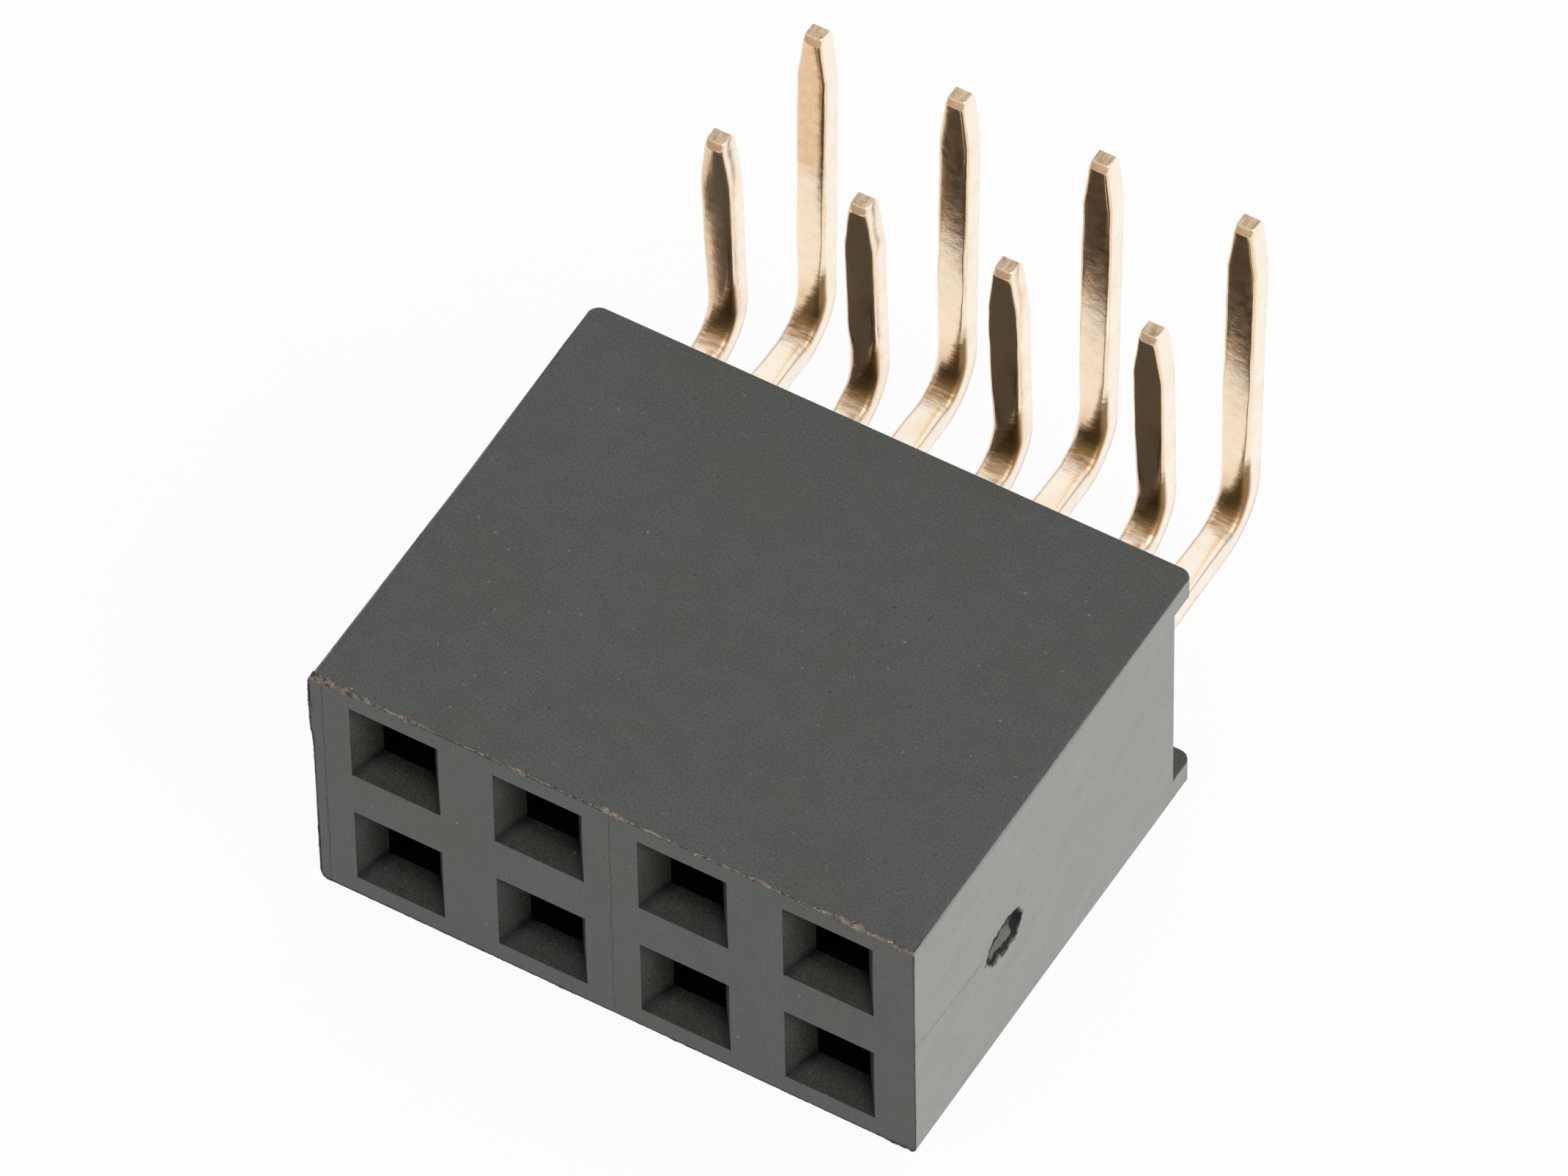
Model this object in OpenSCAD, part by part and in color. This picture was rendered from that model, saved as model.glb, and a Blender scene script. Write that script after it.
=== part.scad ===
// Right-angle socket strip: two rows of square-pin sockets on a standard grid, in one moulded
// housing. Eight flat stamped contacts sit in it. Their tails leave the back and are bent up.
//
// The strip lies as it would on a bench, on the face that points away from the circuit board.
// X runs along the rows, Y from the mating face to the back, and Z up along the solder tails.
// The origin is the centre of the face that the strip lies on. All lengths are in millimetres.

/* [Grid] */
// Distance between neighbouring positions along a row
pitch = 2.54; // [2.4:0.02:3]
// Distance between the two rows of sockets
row_pitch = 2.54; // [2.4:0.02:3]
// Distance between the two rows of solder tails, where they leave their bends
tail_row_pitch = 2.65; // [2.3:0.01:3]

/* [Housing] */
// Housing depth, from the mating face to the back of the lips
body_d = 8.45; // [8.2:0.05:12]
// Housing length past the last cell's half pitch, at each end
end_margin = 0.245; // [0.1:0.005:1]
// Distance from a row's centre line to the outer face beside it
row_to_face = 1.215; // [1.1:0.005:1.6]
// Depth of the recess in the back, between the two lips
recess_d = 0.57; // [0.3:0.01:0.8]
// Thickness of each lip
lip_t = 0.46; // [0.3:0.02:0.6]
// Corner radius of the lips, seen from above
lip_r = 0.22; // [0.1:0.02:0.28]

/* [Sockets] */
// Width of a socket's mouth, along the row
mouth_w = 1.57; // [1.2:0.01:1.9]
// Height of a socket's mouth
mouth_h = 1.62; // [1.2:0.01:1.9]
// Depth of the tapered lead-in
lead_in = 0.45; // [0.2:0.05:0.7]
// Side of the square channel that guides the pin
channel_w = 0.92; // [0.75:0.01:1.1]
// Wall between the mating face and the tips of the contact's slot
front_wall = 1.05; // [0.9:0.05:1.5]

/* [Contacts] */
// Thickness of the stamped strip
stock = 0.4; // [0.3:0.02:0.46]
// Width across the two tines at their tips
fork_w = 1.5; // [1.4:0.02:1.56]
// Width across the two tines at their root
fork_root_w = 1.62; // [1.56:0.02:1.66]
// Width of the slot between the tines
fork_slot_w = 0.7; // [0.66:0.02:0.8]
// Gap between the two contact points, a little less than the pin
pinch_gap = 0.5; // [0.4:0.02:0.6]
// Radius of each rounded contact point
pinch_r = 0.42; // [0.35:0.01:0.5]
// Distance from the tines' tips to the contact points
pinch_from_tip = 0.95; // [0.8:0.05:1.3]
// Solid metal between the fork's slot and the seat of the base
fork_web = 0.3; // [0.2:0.05:0.6]
// Width of the base that the housing holds
base_w = 1.86; // [1.8:0.02:1.9]
// Length of the base, from its seat to its back edge
base_len = 1.3; // [1.1:0.05:1.6]
// Distance from the back edge of the base to the recess
base_setback = 0.2; // [0.1:0.05:0.5]
// How far each barb stands out of the base
barb_h = 0.04; // [0.01:0.01:0.04]
// Length of each barb along the base
barb_len = 0.36; // [0.2:0.02:0.4]

/* [Tails] */
// Width of a tail
tail_w = 0.53; // [0.4:0.01:0.64]
// Radius of the two edges that the punch rounded
roll_r = 0.08; // [0.04:0.01:0.12]
// Distance from the back of the lips to the nearer row of tails
tail_offset = 1.44; // [1.3:0.01:2]
// Bend radius of the short tails, at the middle of the strip's thickness
short_bend_r = 0.73; // [0.6:0.01:0.9]
// Bend radius of the long tails, at the middle of the strip's thickness
long_bend_r = 0.8; // [0.6:0.01:1]
// Forward lean of the short tails, in degrees
short_lean = 1.7; // [0:0.1:5]
// Backward lean of the long tails, in degrees
long_lean = 1.7; // [0:0.1:5]
// Height of the short tails' tips over the housing
short_reach = 3.48; // [2.5:0.01:4]
// Height of the long tails' tips over the housing
long_reach = 2.96; // [2.3:0.01:4]
// Length of the taper that ends a tail
taper_len = 0.97; // [0.5:0.01:1.3]
// Width of a tail at its tip
tip_w = 0.3; // [0.2:0.02:0.36]
// Depth of the bevel on the front and back of a tip
tip_bevel = 0.08; // [0.04:0.01:0.14]
// Height of the bevel on the front and back of a tip
tip_bevel_h = 0.12; // [0.04:0.01:0.3]

/* [Gate scar] */
// Diameter of the scar that the broken gate left on the right end
gate_d = 1.1; // [0.6:0.02:1.6]
// Depth of the scar
gate_depth = 0.12; // [0.04:0.02:0.2]
// Distance from the mating face to the middle of the scar
gate_from_front = 2.67; // [1.5:0.01:6]

/* [Clearances] */
// Clearance between a contact's flat face and its slot
face_clear = 0.02; // [0.01:0.01:0.05]
// Clearance beside the base, which the barbs nearly fill
side_clear = 0.05; // [0.05:0.01:0.08]
// Room beside each tine, for it to spread
spread_clear = 0.12; // [0.08:0.01:0.15]
// Clearance in front of the tines' tips
tip_clear = 0.15; // [0.05:0.01:0.3]

/* [Hidden] */
$fn = 48;
// Sockets in each row. Each has a contact node of its own in the lists below.
positions = 4;

// How far a cutting shape runs past the face that it opens
over = 0.2;

body_w = positions * pitch + 2 * end_margin;
body_h = row_pitch + 2 * row_to_face;
front_y = -body_d / 2;
back_y = body_d / 2;
recess_y = back_y - recess_d;

long_row_z = row_to_face;
short_row_z = row_to_face + row_pitch;

base_back_y = recess_y - base_setback;
seat_y = base_back_y - base_len;
slot_root_y = seat_y - fork_web;
slot_front_y = front_y + front_wall;
fork_tip_y = slot_front_y + tip_clear;
pinch_y = fork_tip_y + pinch_from_tip;

slot_h = stock + 2 * face_clear;
tine_slot_w = fork_root_w + 2 * spread_clear;
base_slot_w = base_w + 2 * side_clear;

short_tail_y = back_y + tail_offset;
long_tail_y = short_tail_y + tail_row_pitch;

// Place of a position along the row, counted from 1 at the left
function position_x(i) = (i - (positions + 1) / 2) * pitch;

// Housing

// The housing as seen from above, with the lips' corners rounded at the back
module housing_plan() {
    translate([-body_w / 2, front_y])
        square([body_w, body_d - lip_r]);
    translate([-body_w / 2 + lip_r, front_y])
        square([body_w - 2 * lip_r, body_d]);
    for (side = [-1, 1])
        translate([side * (body_w / 2 - lip_r), back_y - lip_r])
            circle(lip_r);
}

// One side of a lead-in, seen square on: the mouth narrows to the channel
module lead_in_profile(mouth) {
    polygon([
        [-mouth / 2, -over],
        [mouth / 2, -over],
        [mouth / 2, 0],
        [channel_w / 2, lead_in],
        [-channel_w / 2, lead_in],
        [-mouth / 2, 0],
    ]);
}

// The tapered mouth of a socket, a pyramid cut off at the channel
module lead_in_cut() {
    intersection() {
        translate([0, 0, -mouth_h / 2])
            linear_extrude(mouth_h)
                lead_in_profile(mouth_w);
        rotate([90, 0, 90])
            translate([0, 0, -mouth_w / 2])
                linear_extrude(mouth_w)
                    mirror([1, -1])
                        lead_in_profile(mouth_h);
    }
}

// A box along Y, centred on the row's line, between two places
module cell_box(w, h, from_y, to_y) {
    translate([-w / 2, from_y, -h / 2])
        cube([w, to_y - from_y, h]);
}

// One cell: lead-in, pin channel, flat slot for the tines and wider slot for the base
module cell_cut() {
    translate([0, front_y, 0])
        lead_in_cut();
    cell_box(channel_w, channel_w, front_y + lead_in / 2, slot_root_y);
    cell_box(tine_slot_w, slot_h, slot_front_y, seat_y + over);
    cell_box(base_slot_w, slot_h, seat_y, recess_y + over);
}

// The recess between the two lips, open at both ends
module recess_cut() {
    translate([-body_w / 2 - over, recess_y, lip_t])
        cube([body_w + 2 * over, recess_d + over, body_h - 2 * lip_t]);
}

// The shallow round scar of the gate, in the middle of the right end
module gate_cut() {
    translate([body_w / 2 - gate_depth, front_y + gate_from_front, body_h / 2])
        rotate([0, 90, 0])
            cylinder(d = gate_d, h = gate_depth + over);
}

module housing() {
    color([0.26, 0.28, 0.28])
        difference() {
            linear_extrude(body_h)
                housing_plan();
            for (i = [1:positions], z = [long_row_z, short_row_z])
                translate([position_x(i), 0, z])
                    cell_cut();
            recess_cut();
            gate_cut();
        }
}

// Contacts

// One tine with its contact point, on the right of the slot
module tine_outline() {
    intersection() {
        polygon([
            [0, fork_tip_y],
            [fork_w / 2, fork_tip_y],
            [fork_root_w / 2, seat_y],
            [0, seat_y],
        ]);
        union() {
            // The straight part, with its tip flared away from the slot
            polygon([
                [fork_slot_w / 2, slot_root_y],
                [fork_slot_w / 2, pinch_y],
                [(fork_slot_w + fork_w) / 4, fork_tip_y],
                [fork_root_w, fork_tip_y],
                [fork_root_w, slot_root_y],
            ]);
            translate([pinch_gap / 2 + pinch_r, pinch_y])
                circle(pinch_r);
        }
    }
}

// The web behind the slot, with the slot's round root
module web_outline() {
    difference() {
        polygon([
            [-fork_root_w / 2, slot_root_y - fork_slot_w / 2],
            [fork_root_w / 2, slot_root_y - fork_slot_w / 2],
            [fork_root_w / 2, seat_y],
            [-fork_root_w / 2, seat_y],
        ]);
        translate([0, slot_root_y - fork_slot_w / 2])
            circle(d = fork_slot_w);
    }
}

// The base, with two barbs on each side that slope towards the front
module base_outline() {
    translate([-base_w / 2, seat_y])
        square([base_w, base_len]);
    for (side = [0, 1], n = [1, 2])
        mirror([side, 0])
            translate([base_w / 2, seat_y + n * base_len / 2])
                polygon([[0, -barb_len], [barb_h, -barb_len / 3], [barb_h, -barb_len / 4], [0, -barb_len / 6]]);
}

// The flat end of a contact, from the tines' tips to the back of the base
module fork() {
    translate([0, 0, -stock / 2])
        linear_extrude(stock) {
            for (side = [0, 1])
                mirror([side, 0])
                    tine_outline();
            web_outline();
            base_outline();
        }
}

// A tail's section: X is its width and Y its thickness, with the punched edges rounded at +Y
module tail_section() {
    translate([-tail_w / 2, -stock / 2])
        square([tail_w, stock - roll_r]);
    translate([-tail_w / 2 + roll_r, -stock / 2])
        square([tail_w - 2 * roll_r, stock]);
    for (side = [-1, 1])
        translate([side * (tail_w / 2 - roll_r), stock / 2 - roll_r])
            circle(roll_r);
}

// The upright part of a tail, from the end of its bend at the origin, up along Z
module tail_leg(length) {
    intersection() {
        linear_extrude(length)
            rotate(180)
                tail_section();
        // Seen from the front: straight, then tapered to the tip
        rotate([90, 0, 0])
            linear_extrude(2 * stock, center = true)
                polygon([
                    [-tail_w, 0],
                    [tail_w, 0],
                    [tail_w, length - taper_len],
                    [tail_w / 2, length - taper_len],
                    [tip_w / 2, length],
                    [-tip_w / 2, length],
                    [-tail_w / 2, length - taper_len],
                    [-tail_w, length - taper_len],
                ]);
        // Seen from the side: the tip's front and back are bevelled
        rotate([90, 0, 90])
            linear_extrude(2 * tail_w, center = true)
                polygon([
                    [-stock / 2, 0],
                    [stock / 2, 0],
                    [stock / 2, length - tip_bevel_h],
                    [stock / 2 - tip_bevel, length],
                    [-stock / 2 + tip_bevel, length],
                    [-stock / 2, length - tip_bevel_h],
                ]);
    }
}

// A whole tail: back out of the base, round the bend and up.
// turn is the angle of the bend, so more than 90 leans the leg forward.
module tail(row_z, tail_y, bend_r, turn, reach) {
    bend_y = tail_y - bend_r * sin(turn);
    leg_z = row_z + bend_r * (1 - cos(turn));
    // Everything is placed from the middle of the bend, so that the three stretches meet
    translate([0, bend_y, row_z + bend_r]) {
        translate([0, 0, -bend_r])
            rotate([90, 0, 0])
                linear_extrude(bend_y - base_back_y)
                    tail_section();
        rotate([0, 90, 0])
            rotate_extrude(angle = turn)
                translate([bend_r, 0])
                    rotate(90)
                        tail_section();
        rotate([turn - 90, 0, 0])
            translate([0, bend_r, 0])
                tail_leg((body_h + reach - leg_z) / sin(turn));
    }
}

module contact(i, row_z, tail_y, bend_r, turn, reach) {
    color([0.93, 0.84, 0.62])
        translate([position_x(i), 0, 0]) {
            translate([0, 0, row_z])
                fork();
            tail(row_z, tail_y, bend_r, turn, reach);
        }
}

module short_contact(i) {
    contact(i, short_row_z, short_tail_y, short_bend_r, 90 + short_lean, short_reach);
}

module long_contact(i) {
    contact(i, long_row_z, long_tail_y, long_bend_r, 90 - long_lean, long_reach);
}

housing();
short_contact(1);  // short_contact_1
short_contact(2);  // short_contact_2
short_contact(3);  // short_contact_3
short_contact(4);  // short_contact_4
long_contact(1);  // long_contact_1
long_contact(2);  // long_contact_2
long_contact(3);  // long_contact_3
long_contact(4);  // long_contact_4
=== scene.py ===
"""Looks of a right-angle socket strip: moulded housing, stamped gold-plated contacts, flash and gate scar.

Lengths are in metres. X runs along the rows, Y from the mating face to the back, Z up along the tails.
"""

import math
import random

import bmesh
import bpy
from mathutils import Matrix, Vector, noise


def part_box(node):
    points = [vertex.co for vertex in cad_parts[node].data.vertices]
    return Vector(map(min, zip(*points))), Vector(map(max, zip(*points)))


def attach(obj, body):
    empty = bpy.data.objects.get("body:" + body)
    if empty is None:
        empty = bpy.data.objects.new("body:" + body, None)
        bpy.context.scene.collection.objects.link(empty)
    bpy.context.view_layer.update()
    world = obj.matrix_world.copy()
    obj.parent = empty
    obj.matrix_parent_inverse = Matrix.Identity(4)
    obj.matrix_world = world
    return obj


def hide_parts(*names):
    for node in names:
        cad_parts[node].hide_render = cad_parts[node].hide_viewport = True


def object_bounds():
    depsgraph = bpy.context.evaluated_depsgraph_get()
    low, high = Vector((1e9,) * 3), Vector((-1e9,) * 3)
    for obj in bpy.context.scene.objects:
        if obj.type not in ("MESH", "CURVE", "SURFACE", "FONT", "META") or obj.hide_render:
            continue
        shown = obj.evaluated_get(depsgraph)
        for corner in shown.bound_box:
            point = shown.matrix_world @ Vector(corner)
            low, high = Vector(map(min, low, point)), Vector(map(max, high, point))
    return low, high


bl_info = {
    "name": "Socket strip looks",
    "version": (1, 0, 0),
    "blender": (4, 5, 0),
    "location": "3D View > Sidebar > Socket strip",
    "description": "Dresses a right-angle socket strip: housing, contacts, flash, gate scar and stage",
    "category": "Object",
}

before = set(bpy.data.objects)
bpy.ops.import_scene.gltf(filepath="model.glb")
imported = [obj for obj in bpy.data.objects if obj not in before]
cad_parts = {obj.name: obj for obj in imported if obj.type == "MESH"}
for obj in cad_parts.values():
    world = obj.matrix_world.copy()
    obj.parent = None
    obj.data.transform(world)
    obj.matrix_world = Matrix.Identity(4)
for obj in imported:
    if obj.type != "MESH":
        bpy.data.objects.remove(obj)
CAD_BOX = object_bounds()

MM = 0.001
PER_MM = 1.0 / MM
RIGHT = Vector((1.0, 0.0, 0.0))
BACK = Vector((0.0, 1.0, 0.0))
UP = Vector((0.0, 0.0, 1.0))
BODY = "root"

PITCH = 2.54 * MM
POSITIONS = 4
LOW_ROW = 1.215 * MM
HIGH_ROW = 3.755 * MM

HOUSING_LOW, HOUSING_HIGH = (Vector(corner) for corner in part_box("housing"))
HOUSING_DEPTH = HOUSING_HIGH.y - HOUSING_LOW.y
RIGHT_END = HOUSING_HIGH.x
FRONT = HOUSING_LOW.y
TOP = HOUSING_HIGH.z
LEAD_IN = 0.45 * MM
MOUTH_HALF_WIDTH = 0.785 * MM
MOUTH_HALF_HEIGHT = 0.81 * MM
RECESS = FRONT + HOUSING_DEPTH - 0.57 * MM
GATE = Vector((RIGHT_END, FRONT + 2.67 * MM, (TOP - HOUSING_LOW.z) / 2))
GATE_RADIUS_MM = 0.55
GATE_FLOOR = RIGHT_END - 0.119 * MM
# The left end's step: where it starts, and over what height it runs out
STEP_START = 3.3 * MM
STEP_HEIGHT = 0.55 * MM
# What counts as lying in a plane
CLOSE = 0.001 * MM


# Settings

def length(name, description, default):
    """A length setting, in metres."""
    return bpy.props.FloatProperty(
        name=name, description=description, default=default, min=0.0, unit="LENGTH", precision=5
    )


def colour(name, description, default):
    """A colour setting, in linear light."""
    return bpy.props.FloatVectorProperty(
        name=name, description=description, default=default, size=3, subtype="COLOR", min=0.0, max=1.0
    )


def factor(name, description, default, top=1.0):
    """A plain number between nothing and top."""
    return bpy.props.FloatProperty(
        name=name, description=description, default=default, min=0.0, max=top, subtype="FACTOR"
    )


class HousingSettings(bpy.types.PropertyGroup):
    """Sizes and colours of the moulding."""

    edge_radius: length("Edge radius", "Radius of the edges of the front", 0.035 * MM)
    left_radius: length("Left radius", "Radius of the long edges of the left end", 0.18 * MM)
    right_radius: length("Right radius", "Radius of the long edges of the right end", 0.09 * MM)
    back_radius: length("Back radius", "Radius of the edges at the back", 0.04 * MM)
    mould_step: length("Mould step", "How far the left end's lower part is set in", 0.045 * MM)
    mouth_radius: length("Mouth radius", "Radius of the edges of the socket mouths", 0.018 * MM)
    seam_width: length("Seam width", "Width of the seams between the mould's inserts", 0.04 * MM)
    front_inset: length("Front inset", "How far the front lies behind the flash", 0.02 * MM)
    side_inset: length("Side inset", "How far the ends lie inside the flash", 0.008 * MM)
    top_inset: length("Top inset", "How far the top lies below the nominal height", 0.012 * MM)
    plastic: colour("Plastic", "Colour of the moulding", (0.053, 0.059, 0.054))
    warmth: colour("Warmth", "What the browner patches keep of each colour", (1.0, 0.91, 0.83))
    # The ends' lighter colour: painted light, not a colour of the plastic
    painted_end_light: colour("Scuffed", "Colour of the scuffed ends", (0.093, 0.103, 0.081))
    front_face: colour("Front", "Colour of the smooth front", (0.049, 0.055, 0.046))
    # The lead-ins' darker colour: painted shade on the slopes into the sockets
    lead_in_painted_shade: colour("Lead-in", "Colour of the slopes into the sockets", (0.025, 0.025, 0.0215))
    # The near black deep in the sockets: painted shade
    socket: colour("Socket", "Colour deep in the sockets", (0.001, 0.001, 0.001))
    speck: colour("Speck", "Colour of the glass specks in the surface", (0.20, 0.215, 0.19))
    flash: colour("Flash", "Colour of the torn flash along the edges", (0.30, 0.235, 0.18))
    crack: colour("Crack", "Colour of the dark gaps in the torn flash", (0.030, 0.018, 0.012))
    fibre: colour("Fibre", "Colour of bare glass fibres and dust", (0.55, 0.52, 0.45))
    torn: colour("Torn", "Colour of the torn gate", (0.135, 0.125, 0.106))
    # The dark of the gate's trench and groove: painted shade
    hollow_painted_shade: colour("Hollow", "Colour of the hollows of the torn gate", (0.009, 0.0062, 0.0045))
    pit: colour("Pit", "Colour of the small pits", (0.004, 0.004, 0.003))
    seam: colour("Seam", "Colour of the seams", (0.006, 0.0045, 0.0035))
    roughness: factor("Roughness", "Roughness of the moulded surface", 0.42)


class ContactSettings(bpy.types.PropertyGroup):
    """Sizes and colours of the contacts."""

    stock: length("Stock", "Thickness of the stamped strip", 0.4 * MM)
    tail_width: length("Tail width", "Width of a tail", 0.53 * MM)
    tip_width: length("Tip width", "Width of a tail at its tip", 0.3 * MM)
    roll_radius: length("Rolled edge", "Radius of the edges that the punch rounded", 0.08 * MM)
    burr_radius: length("Burr edge", "Radius of the other two edges", 0.015 * MM)
    crown: length("Crown", "How far the front of a tail bulges in its middle", 0.006 * MM)
    plating: colour("Plating", "Colour of the gold plating", (0.96, 0.80, 0.59))
    # The paler plating on the run and the sides: a painted highlight
    painted_highlight: colour("Burnished", "Colour of the brighter plating on the sides", (0.98, 0.88, 0.74))
    # The dark plating in the bend: painted reflection, where the plating is also rougher
    wear_and_painted_reflection: colour("Worn", "Colour of the plating that was worn in the bend", (0.28, 0.17, 0.066))
    # The brown plating: stains, and painted reflection on the fronts towards the tip and in the bend
    tarnish_and_painted_reflection: colour("Tarnish", "Colour of the plating where it has browned", (0.80, 0.53, 0.31))
    sheared_end: colour("Sheared end", "Colour of the bare metal at the tips", (0.44, 0.30, 0.17))
    roughness: factor("Roughness", "Roughness of the plating", 0.17)


class StageSettings(bpy.types.PropertyGroup):
    """Light and floor."""

    floor: colour("Floor", "Colour of the floor", (0.92, 0.92, 0.92))
    sky: factor("Sky", "Strength of the even light from all round", 0.82, 4.0)
    horizon: factor("Horizon", "How much of the light is left near the horizon", 0.5)
    key: bpy.props.FloatProperty(
        name="Key", description="Power of the soft lamp on the right", default=0.2, min=0.0, unit="POWER"
    )


# Shader nodes

def feed(tree, socket, value):
    """Gives an input its link, or its plain value."""
    if isinstance(value, bpy.types.NodeSocket):
        tree.links.new(value, socket)
    elif socket.type == "RGBA":
        socket.default_value = (*value[:3], 1.0)
    else:
        socket.default_value = value


def feed_all(tree, node, inputs):
    """Gives a node its inputs by name. Underscores stand for spaces."""
    for key, value in inputs.items():
        feed(tree, node.inputs[key.replace("_", " ")], value)


def add_node(tree, kind, settings=None, **inputs):
    """A node with its settings and its inputs."""
    node = tree.nodes.new(kind)
    for key, value in (settings or {}).items():
        setattr(node, key, value)
    feed_all(tree, node, inputs)
    return node


def attribute(tree, name):
    """The number that a mesh keeps under a name."""
    return add_node(tree, "ShaderNodeAttribute", {"attribute_name": name}).outputs["Fac"]


def stretched(tree, place, scale):
    """A place with each axis scaled."""
    return add_node(tree, "ShaderNodeMapping", Vector=place, Scale=scale).outputs["Vector"]


def object_mm(tree, stretch=(1.0, 1.0, 1.0), turn=0.0):
    """Object coordinates in millimetres, turned about X, then stretched for a pattern that runs one way."""
    place = add_node(tree, "ShaderNodeTexCoord").outputs["Object"]
    turned = add_node(tree, "ShaderNodeMapping", Vector=place, Rotation=(turn, 0.0, 0.0)).outputs["Vector"]
    return stretched(tree, turned, [PER_MM * value for value in stretch])


def noise_value(tree, place, scale, detail=2.0, roughness=0.5):
    """Noise between 0 and 1, with scale in features for each millimetre."""
    node = add_node(
        tree, "ShaderNodeTexNoise", Vector=place, Scale=scale, Detail=detail, Roughness=roughness
    )
    return node.outputs["Fac"]


def spread(tree, value, low, high, new_low=0.0, new_high=1.0, shape="LINEAR"):
    """Maps low..high onto new_low..new_high and holds it there."""
    node = add_node(
        tree, "ShaderNodeMapRange", {"clamp": True, "interpolation_type": shape},
        Value=value, From_Min=low, From_Max=high, To_Min=new_low, To_Max=new_high,
    )
    return node.outputs["Result"]


def maths(tree, operation, first, second, *rest):
    """Values joined from the left by Math nodes."""
    node = add_node(tree, "ShaderNodeMath", {"operation": operation})
    feed(tree, node.inputs[0], first)
    feed(tree, node.inputs[1], second)
    return maths(tree, operation, node.outputs[0], *rest) if rest else node.outputs[0]


def times(tree, *values):
    """Values multiplied."""
    return maths(tree, "MULTIPLY", *values)


def distance(tree, first, second):
    """How far two values lie apart."""
    return maths(tree, "ABSOLUTE", maths(tree, "SUBTRACT", first, second), 0.0)


def mix_colour(tree, fac, first, second):
    """Mixes two colours, each a socket or a plain colour."""
    node = add_node(tree, "ShaderNodeMix", {"data_type": "RGBA"})
    # Its inputs 6 and 7 are the two colours, and its output 2 is the mixed one
    for index, value in ((0, fac), (6, first), (7, second)):
        feed(tree, node.inputs[index], value)
    return node.outputs[2]


def shaded(tree, base, shade):
    """A colour times a number."""
    node = add_node(tree, "ShaderNodeVectorMath", {"operation": "SCALE"}, Scale=shade)
    feed(tree, node.inputs[0], base)
    return node.outputs["Vector"]


def new_material(name):
    """An empty node material with its surface shader."""
    material = bpy.data.materials.new(name)
    material.use_nodes = True
    tree = material.node_tree
    tree.nodes.clear()
    shader = tree.nodes.new("ShaderNodeBsdfPrincipled")
    add_node(tree, "ShaderNodeOutputMaterial", Surface=shader.outputs["BSDF"])
    return material, tree, shader


def surfaced(tree, shader, base, height, strength, distance_mm, **inputs):
    """Gives a shader its colour, its bumps and its other inputs."""
    bump = add_node(
        tree, "ShaderNodeBump", Strength=strength, Distance=distance_mm * MM, Height=height
    ).outputs["Normal"]
    feed_all(tree, shader, {"Base_Color": base, "Normal": bump, **inputs})


# Materials

def in_plane(tree, place, axes):
    """The two coordinates that lie in a wall, a little unevenly, so that a pattern is cut square by it."""
    split = add_node(tree, "ShaderNodeSeparateXYZ", Vector=place)
    flat = add_node(tree, "ShaderNodeCombineXYZ", X=split.outputs[axes[0]], Y=split.outputs[axes[1]])
    bent = add_node(tree, "ShaderNodeTexNoise", Vector=place, Scale=24.0, Detail=2.0)
    uneven = add_node(tree, "ShaderNodeVectorMath", {"operation": "MULTIPLY_ADD"})
    parts = (bent.outputs["Color"], (0.05, 0.05, 0.05), flat.outputs["Vector"])
    for socket, value in zip(uneven.inputs, parts):
        feed(tree, socket, value)
    return uneven.outputs["Vector"]


def specks(tree, flat, scale, radius_mm, share):
    """Small specks in a wall, scale to the millimetre, of which only a share shows."""
    node = add_node(tree, "ShaderNodeTexVoronoi", {"voronoi_dimensions": "2D"}, Vector=flat, Scale=scale)
    near = spread(tree, node.outputs["Distance"], 0.35 * radius_mm * scale, radius_mm * scale, 1.0, 0.0)
    chance = add_node(tree, "ShaderNodeSeparateColor", Color=node.outputs["Color"]).outputs["Red"]
    return times(tree, near, spread(tree, chance, 1.0 - share, 1.0 - 0.6 * share))


def seam_mask(tree, place, axis, at_mm, half_width_mm, lean, end_mm, strength):
    """A thin broken line across an axis, which leans along Y and fades out before its end on Y."""
    split = add_node(tree, "ShaderNodeSeparateXYZ", Vector=place)
    most = 0.7 * half_width_mm
    wobble = spread(tree, noise_value(tree, place, 2.2, 3.0), 0.3, 0.7, -most, most)
    leaning = maths(tree, "ADD", split.outputs[axis], times(tree, split.outputs["Y"], lean), wobble)
    line = spread(tree, distance(tree, leaning, at_mm), 0.3 * half_width_mm, half_width_mm, 1.0, 0.0)
    broken = spread(tree, noise_value(tree, place, 8.0, 4.0, 0.7), 0.38, 0.56, 0.25, 1.0)
    fading = spread(tree, split.outputs["Y"], end_mm - 0.3, end_mm, 1.0, 0.0)
    return times(tree, line, broken, fading, strength)


def corner_distance(tree, place):
    """How far a point of a lead-in lies from the corners between its slopes, in mm; it places the painted
    shade in those corners.
    """
    split = add_node(tree, "ShaderNodeSeparateXYZ", Vector=place)
    pitch = PITCH * PER_MM
    away = []
    for axis, shift in (("X", 2.0 * pitch), ("Z", 0.5 * pitch - LOW_ROW * PER_MM)):
        folded = maths(tree, "FLOORED_MODULO", maths(tree, "ADD", split.outputs[axis], shift), pitch)
        away.append(distance(tree, folded, 0.5 * pitch))
    return distance(tree, *away)


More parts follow.
